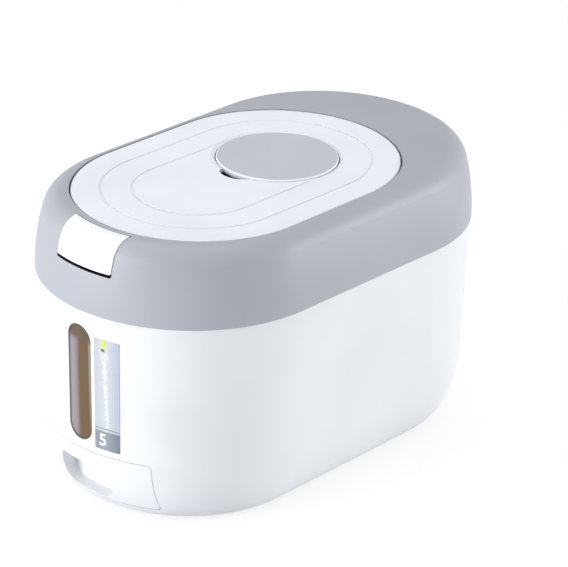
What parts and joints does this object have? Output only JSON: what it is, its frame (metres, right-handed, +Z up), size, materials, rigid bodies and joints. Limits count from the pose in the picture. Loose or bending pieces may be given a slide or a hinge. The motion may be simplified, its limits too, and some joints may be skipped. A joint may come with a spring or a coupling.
{
  "type": "rice dispenser",
  "caption": "Round-ended countertop grain bin: white tub, grey collar, hinged lid with press latch and stored measuring cup, sight window and a low front drawer.",
  "frame": {"origin": "under the middle of the base, on the surface the bin stands on", "axes": "+Z up; the front with the window, latch and drawer faces -Y; +X is on the right when the front is seen"},
  "size_m": [0.185, 0.305, 0.18],
  "materials": {
    "tub_plastic": "satin white polypropylene",
    "collar_plastic": "satin grey polypropylene",
    "lid_plastic": "satin white polypropylene",
    "cup_plastic": "satin light grey polypropylene",
    "drawer_plastic": "satin white polypropylene",
    "inner_plastic": "plain moulded polypropylene",
    "clear_plastic": "tinted clear styrene",
    "soft_seal": "silicone",
    "steel_pin": "drawn steel",
    "spring_steel": "music wire",
    "label_film": "printed film"
  },
  "bodies": {
    "bin": {"tub": "tub_plastic", "hopper_floor": "inner_plastic", "drawer_rail_left": "inner_plastic", "drawer_rail_right": "inner_plastic", "drawer_stop": "inner_plastic", "collar": "collar_plastic", "collar_gasket": "soft_seal", "sight_window": "clear_plastic", "window_seal": "soft_seal", "level_label": "label_film", "hinge_pin": "steel_pin", "latch_pin": "steel_pin", "lid_spring": "spring_steel", "latch_spring": "spring_steel"},
    "lid": {"lid_panel": "lid_plastic", "lid_liner": "inner_plastic", "cup_well": "inner_plastic", "lid_gasket": "soft_seal", "catch_tongue": "inner_plastic", "hinge_arm": "inner_plastic", "hinge_screws": "steel_pin"},
    "cup": {"measuring_cup": "cup_plastic"},
    "latch": {"latch_button": "lid_plastic"},
    "drawer": {"drawer_front": "drawer_plastic", "drawer_tray": "inner_plastic", "shutter_plate": "inner_plastic", "drawer_screws": "steel_pin"}
  },
  "joints": [
    {"name": "lid_hinge", "type": "hinge", "parent": "bin", "child": "lid", "pos_m": [0, 0.115, 0.1722], "axis": [-1, 0, 0], "range_deg": [0, 80], "deforming": ["lid_spring"]},
    {"name": "cup_lift", "type": "slide", "parent": "lid", "child": "cup", "axis": [0, 0, 1], "range_m": [0, 0.06]},
    {"name": "latch_press", "type": "hinge", "parent": "bin", "child": "latch", "pos_m": [0, -0.139, 0.1657], "axis": [1, 0, 0], "range_deg": [0, 5], "stiffness_Nm_per_rad": 0.08, "springref_deg": -5.73, "deforming": ["latch_spring"]},
    {"name": "drawer_slide", "type": "slide", "parent": "bin", "child": "drawer", "axis": [0, -1, 0], "range_m": [0, 0.085]}
  ]
}
